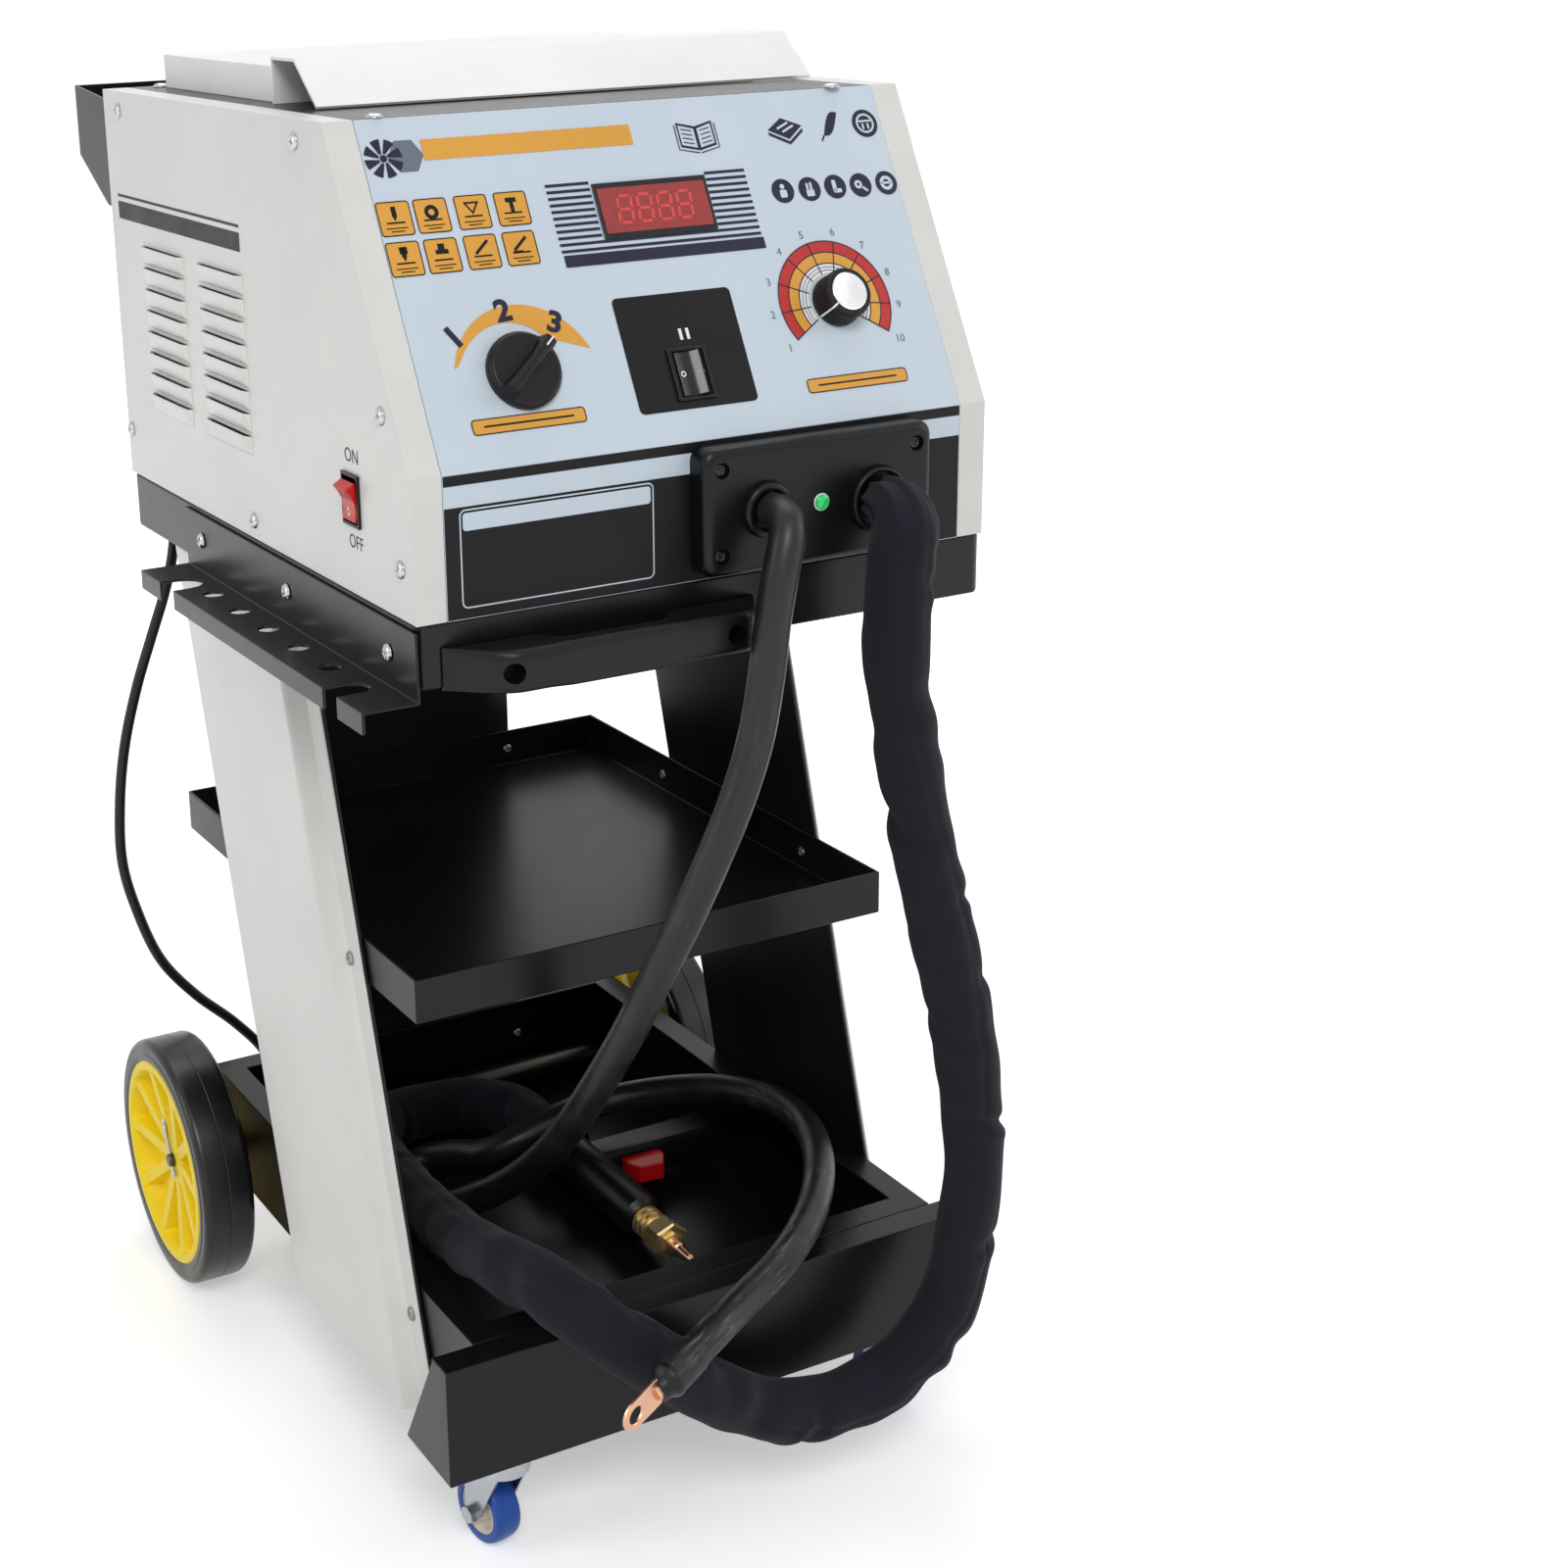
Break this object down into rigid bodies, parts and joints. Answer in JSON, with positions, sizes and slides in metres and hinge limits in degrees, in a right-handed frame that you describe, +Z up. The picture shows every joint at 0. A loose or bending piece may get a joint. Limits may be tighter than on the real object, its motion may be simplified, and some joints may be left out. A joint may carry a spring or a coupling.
{
  "type": "dent pulling spot welder",
  "caption": "Wheeled sheet-metal cart with a sloped control hood, cable-fed welding gun, ground cable and tool shelves.",
  "frame": {"origin": "on the floor under the middle of the machine's box, cables left out", "axes": "+Z up, front towards -Y, +X to the right seen from the front"},
  "size_m": [0.4834, 0.7863, 0.973],
  "materials": {
    "steel_dark": "satin black powder coat",
    "steel_grey": "fine-texture charcoal powder coat",
    "steel_light": "satin pale grey paint",
    "panel_blue": "matt pale blue printed panel",
    "lid_white": "satin white paint",
    "plastic_black": "fine matt black",
    "lens_green": "clear green",
    "display_dark": "smoked window",
    "hub_yellow": "satin yellow",
    "tyre_rubber": "matt black rubber",
    "caster_blue": "satin blue polyurethane",
    "zinc": "bright zinc plate",
    "copper": "bright copper",
    "brass": "turned brass",
    "core_steel": "varnished laminations",
    "winding": "enamelled wire",
    "sink": "bare aluminium",
    "pcb": "green solder mask",
    "cord_black": "satin black",
    "cord_clear": "glossy smoke grey over dark strands",
    "sleeve_fabric": "navy black woven sleeve",
    "plastic_red": "gloss red"
  },
  "bodies": {
    "machine": {"display_window": "display_dark", "mode_switch_body": "plastic_black", "control_board": "pcb", "current_selector_body": "plastic_black", "time_potentiometer": "zinc", "base_box": "steel_dark", "front_bumper": "steel_grey", "middle_tray": "steel_dark", "back_panel": "steel_grey", "pan": "steel_dark", "tool_rack": "steel_dark", "front_handle": "plastic_black", "rear_axle": "zinc", "left_upright_plate": "steel_grey", "left_upright_cover": "steel_light", "left_side_panel": "steel_light", "left_caster_plate": "zinc", "right_upright_plate": "steel_grey", "right_upright_cover": "steel_light", "right_side_panel": "steel_light", "right_caster_plate": "zinc", "front_panel": "panel_blue", "top_plate": "steel_dark", "rear_panel": "steel_light", "top_cover": "lid_white", "rear_trough": "steel_dark", "terminal_box": "plastic_black", "ground_gland": "plastic_black", "gun_gland": "plastic_black", "indicator_lens": "lens_green", "main_switch_body": "plastic_black", "fan_frame": "plastic_black", "transformer_core": "core_steel", "primary_winding": "winding", "ground_busbar": "copper", "gun_busbar": "copper", "heat_sink": "sink", "mains_gland": "plastic_black", "mains_cable": "cord_black", "mains_coil": "cord_black", "mains_plug": "cord_black", "ground_cable": "cord_clear", "ground_lug": "copper", "gun_sleeve": "sleeve_fabric", "gun_body": "plastic_black", "gun_chuck": "brass"},
    "left_wheel": {"left_wheel_hub": "hub_yellow", "left_tyre": "tyre_rubber"},
    "right_wheel": {"right_wheel_hub": "hub_yellow", "right_tyre": "tyre_rubber"},
    "left_fork": {"left_caster_fork": "zinc"},
    "right_fork": {"right_caster_fork": "zinc"},
    "left_roller": {"left_caster_wheel": "caster_blue"},
    "right_roller": {"right_caster_wheel": "caster_blue"},
    "main_rocker": {"main_rocker": "plastic_red"},
    "mode_rocker": {"mode_rocker": "plastic_black"},
    "current_knob": {"current_knob": "plastic_black"},
    "time_knob": {"time_knob": "plastic_black"},
    "fan_rotor": {"fan_rotor": "plastic_black"},
    "gun_trigger": {"gun_trigger": "plastic_red"}
  },
  "joints": [
    {"name": "left_wheel_spin", "type": "hinge", "parent": "machine", "child": "left_wheel", "pos_m": [0.00235, 0.194, 0.1], "axis": [1, 0, 0], "continuous": true},
    {"name": "left_caster_swivel", "type": "hinge", "parent": "machine", "child": "left_fork", "pos_m": [-0.16065, -0.264, 0.05], "axis": [0, 0, 1], "continuous": true},
    {"name": "left_caster_spin", "type": "hinge", "parent": "left_fork", "child": "left_roller", "pos_m": [-0.16378, -0.24627, 0.025], "axis": [0.9848, 0.1736, 0], "continuous": true},
    {"name": "right_wheel_spin", "type": "hinge", "parent": "machine", "child": "right_wheel", "pos_m": [0.00235, 0.194, 0.1], "axis": [1, 0, 0], "continuous": true},
    {"name": "right_caster_swivel", "type": "hinge", "parent": "machine", "child": "right_fork", "pos_m": [0.16535, -0.264, 0.05], "axis": [0, 0, 1], "continuous": true},
    {"name": "right_caster_spin", "type": "hinge", "parent": "right_fork", "child": "right_roller", "pos_m": [0.16222, -0.24627, 0.025], "axis": [0.9848, 0.1736, 0], "continuous": true},
    {"name": "main_power_rocker", "type": "hinge", "parent": "machine", "child": "main_rocker", "pos_m": [-0.20045, -0.1907, 0.7193], "axis": [0, -1, 0], "range_deg": [-30, 0]},
    {"name": "mode_rocker", "type": "hinge", "parent": "machine", "child": "mode_rocker", "pos_m": [-0.00215, -0.25534, 0.78349], "axis": [0, -0.4717, -0.8817], "range_deg": [-20, 0]},
    {"name": "current_selector", "type": "hinge", "parent": "machine", "child": "current_knob", "pos_m": [-0.11455, -0.25067, 0.79687], "axis": [0, -0.8817, 0.4717], "range_deg": [0, 100]},
    {"name": "time_adjust", "type": "hinge", "parent": "machine", "child": "time_knob", "pos_m": [0.11475, -0.24067, 0.81557], "axis": [0, -0.8817, 0.4717], "range_deg": [-247, 0]},
    {"name": "fan_spin", "type": "hinge", "parent": "machine", "child": "fan_rotor", "pos_m": [0.07235, 0.2215, 0.765], "axis": [0, 1, 0], "continuous": true},
    {"name": "trigger_pull", "type": "hinge", "parent": "machine", "child": "gun_trigger", "pos_m": [0.10535, -0.0135, 0.1077], "axis": [0, 0, 1], "range_deg": [-6, 0], "stiffness_Nm_per_rad": 0.15, "springref_deg": 5.73}
  ]
}
